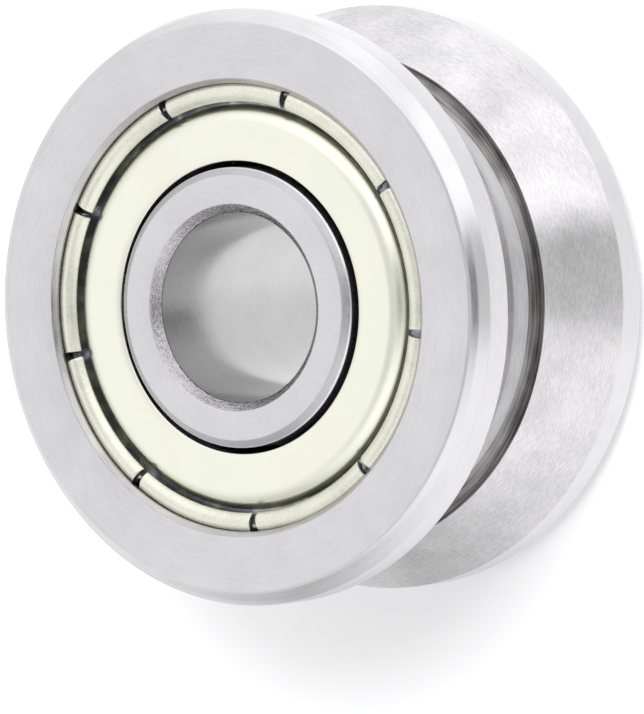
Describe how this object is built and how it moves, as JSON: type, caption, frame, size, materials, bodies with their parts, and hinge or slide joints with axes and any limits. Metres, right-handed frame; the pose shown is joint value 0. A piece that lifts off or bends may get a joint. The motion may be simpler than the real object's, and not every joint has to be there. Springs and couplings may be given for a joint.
{
  "type": "v groove wheel",
  "caption": "Steel V groove guide wheel on a shielded double row ball bearing, with a plain through bore for an axle.",
  "frame": {"origin": "middle of the bore, on the axle's centre line, halfway between the two faces", "axes": "+Z along the axle out of the front face, the face that the picture shows; the wheel lies on its rear face; +X to the right and +Y up in the picture's picture"},
  "size_m": [0.022, 0.022, 0.011],
  "materials": {
    "ground_steel": "ground and turned bearing steel, satin",
    "plated_sheet": "pale yellow-green plated sheet steel, satin",
    "polished_ball": "polished bearing steel",
    "cage_nylon": "dark moulded nylon"
  },
  "bodies": {
    "root": {"inner_ring": "ground_steel"},
    "wheel": {"outer_ring": "ground_steel", "front_shield": "plated_sheet", "rear_shield": "plated_sheet"},
    "front_cage": {"front_cage": "cage_nylon"},
    "front_ball_1": {"front_ball_1": "polished_ball"},
    "front_ball_2": {"front_ball_2": "polished_ball"},
    "front_ball_3": {"front_ball_3": "polished_ball"},
    "front_ball_4": {"front_ball_4": "polished_ball"},
    "front_ball_5": {"front_ball_5": "polished_ball"},
    "front_ball_6": {"front_ball_6": "polished_ball"},
    "front_ball_7": {"front_ball_7": "polished_ball"},
    "front_ball_8": {"front_ball_8": "polished_ball"},
    "front_ball_9": {"front_ball_9": "polished_ball"},
    "rear_cage": {"rear_cage": "cage_nylon"},
    "rear_ball_1": {"rear_ball_1": "polished_ball"},
    "rear_ball_2": {"rear_ball_2": "polished_ball"},
    "rear_ball_3": {"rear_ball_3": "polished_ball"},
    "rear_ball_4": {"rear_ball_4": "polished_ball"},
    "rear_ball_5": {"rear_ball_5": "polished_ball"},
    "rear_ball_6": {"rear_ball_6": "polished_ball"},
    "rear_ball_7": {"rear_ball_7": "polished_ball"},
    "rear_ball_8": {"rear_ball_8": "polished_ball"},
    "rear_ball_9": {"rear_ball_9": "polished_ball"}
  },
  "joints": [
    {"name": "wheel_spin", "type": "hinge", "parent": "root", "child": "wheel", "pos_m": [0, 0, 0], "axis": [0, 0, 1], "continuous": true},
    {"name": "front_cage_orbit", "type": "hinge", "parent": "root", "child": "front_cage", "pos_m": [0, 0, 0], "axis": [0, 0, 1], "continuous": true},
    {"name": "front_ball_1_roll", "type": "hinge", "parent": "front_cage", "child": "front_ball_1", "pos_m": [0.00613, 0, 0.00215], "axis": [0, 0, 1], "continuous": true},
    {"name": "front_ball_2_roll", "type": "hinge", "parent": "front_cage", "child": "front_ball_2", "pos_m": [0.00469, 0.00394, 0.00215], "axis": [0, 0, 1], "continuous": true},
    {"name": "front_ball_3_roll", "type": "hinge", "parent": "front_cage", "child": "front_ball_3", "pos_m": [0.00106, 0.00603, 0.00215], "axis": [0, 0, 1], "continuous": true},
    {"name": "front_ball_4_roll", "type": "hinge", "parent": "front_cage", "child": "front_ball_4", "pos_m": [-0.00306, 0.0053, 0.00215], "axis": [0, 0, 1], "continuous": true},
    {"name": "front_ball_5_roll", "type": "hinge", "parent": "front_cage", "child": "front_ball_5", "pos_m": [-0.00576, 0.00209, 0.00215], "axis": [0, 0, 1], "continuous": true},
    {"name": "front_ball_6_roll", "type": "hinge", "parent": "front_cage", "child": "front_ball_6", "pos_m": [-0.00576, -0.00209, 0.00215], "axis": [0, 0, 1], "continuous": true},
    {"name": "front_ball_7_roll", "type": "hinge", "parent": "front_cage", "child": "front_ball_7", "pos_m": [-0.00306, -0.0053, 0.00215], "axis": [0, 0, 1], "continuous": true},
    {"name": "front_ball_8_roll", "type": "hinge", "parent": "front_cage", "child": "front_ball_8", "pos_m": [0.00106, -0.00603, 0.00215], "axis": [0, 0, 1], "continuous": true},
    {"name": "front_ball_9_roll", "type": "hinge", "parent": "front_cage", "child": "front_ball_9", "pos_m": [0.00469, -0.00394, 0.00215], "axis": [0, 0, 1], "continuous": true},
    {"name": "rear_cage_orbit", "type": "hinge", "parent": "root", "child": "rear_cage", "pos_m": [0, 0, 0], "axis": [0, 0, 1], "continuous": true},
    {"name": "rear_ball_1_roll", "type": "hinge", "parent": "rear_cage", "child": "rear_ball_1", "pos_m": [0.00613, 0, -0.00215], "axis": [0, 0, 1], "continuous": true},
    {"name": "rear_ball_2_roll", "type": "hinge", "parent": "rear_cage", "child": "rear_ball_2", "pos_m": [0.00469, 0.00394, -0.00215], "axis": [0, 0, 1], "continuous": true},
    {"name": "rear_ball_3_roll", "type": "hinge", "parent": "rear_cage", "child": "rear_ball_3", "pos_m": [0.00106, 0.00603, -0.00215], "axis": [0, 0, 1], "continuous": true},
    {"name": "rear_ball_4_roll", "type": "hinge", "parent": "rear_cage", "child": "rear_ball_4", "pos_m": [-0.00306, 0.0053, -0.00215], "axis": [0, 0, 1], "continuous": true},
    {"name": "rear_ball_5_roll", "type": "hinge", "parent": "rear_cage", "child": "rear_ball_5", "pos_m": [-0.00576, 0.00209, -0.00215], "axis": [0, 0, 1], "continuous": true},
    {"name": "rear_ball_6_roll", "type": "hinge", "parent": "rear_cage", "child": "rear_ball_6", "pos_m": [-0.00576, -0.00209, -0.00215], "axis": [0, 0, 1], "continuous": true},
    {"name": "rear_ball_7_roll", "type": "hinge", "parent": "rear_cage", "child": "rear_ball_7", "pos_m": [-0.00306, -0.0053, -0.00215], "axis": [0, 0, 1], "continuous": true},
    {"name": "rear_ball_8_roll", "type": "hinge", "parent": "rear_cage", "child": "rear_ball_8", "pos_m": [0.00106, -0.00603, -0.00215], "axis": [0, 0, 1], "continuous": true},
    {"name": "rear_ball_9_roll", "type": "hinge", "parent": "rear_cage", "child": "rear_ball_9", "pos_m": [0.00469, -0.00394, -0.00215], "axis": [0, 0, 1], "continuous": true}
  ],
  "couplings": [
    {"joint": "front_cage_orbit", "follows": "wheel_spin", "ratio": 0.62959},
    {"joint": "front_ball_1_roll", "follows": "wheel_spin", "ratio": 1.7995},
    {"joint": "front_ball_2_roll", "follows": "wheel_spin", "ratio": 1.7995},
    {"joint": "front_ball_3_roll", "follows": "wheel_spin", "ratio": 1.7995},
    {"joint": "front_ball_4_roll", "follows": "wheel_spin", "ratio": 1.7995},
    {"joint": "front_ball_5_roll", "follows": "wheel_spin", "ratio": 1.7995},
    {"joint": "front_ball_6_roll", "follows": "wheel_spin", "ratio": 1.7995},
    {"joint": "front_ball_7_roll", "follows": "wheel_spin", "ratio": 1.7995},
    {"joint": "front_ball_8_roll", "follows": "wheel_spin", "ratio": 1.7995},
    {"joint": "front_ball_9_roll", "follows": "wheel_spin", "ratio": 1.7995},
    {"joint": "rear_cage_orbit", "follows": "wheel_spin", "ratio": 0.62959},
    {"joint": "rear_ball_1_roll", "follows": "wheel_spin", "ratio": 1.7995},
    {"joint": "rear_ball_2_roll", "follows": "wheel_spin", "ratio": 1.7995},
    {"joint": "rear_ball_3_roll", "follows": "wheel_spin", "ratio": 1.7995},
    {"joint": "rear_ball_4_roll", "follows": "wheel_spin", "ratio": 1.7995},
    {"joint": "rear_ball_5_roll", "follows": "wheel_spin", "ratio": 1.7995},
    {"joint": "rear_ball_6_roll", "follows": "wheel_spin", "ratio": 1.7995},
    {"joint": "rear_ball_7_roll", "follows": "wheel_spin", "ratio": 1.7995},
    {"joint": "rear_ball_8_roll", "follows": "wheel_spin", "ratio": 1.7995},
    {"joint": "rear_ball_9_roll", "follows": "wheel_spin", "ratio": 1.7995}
  ]
}
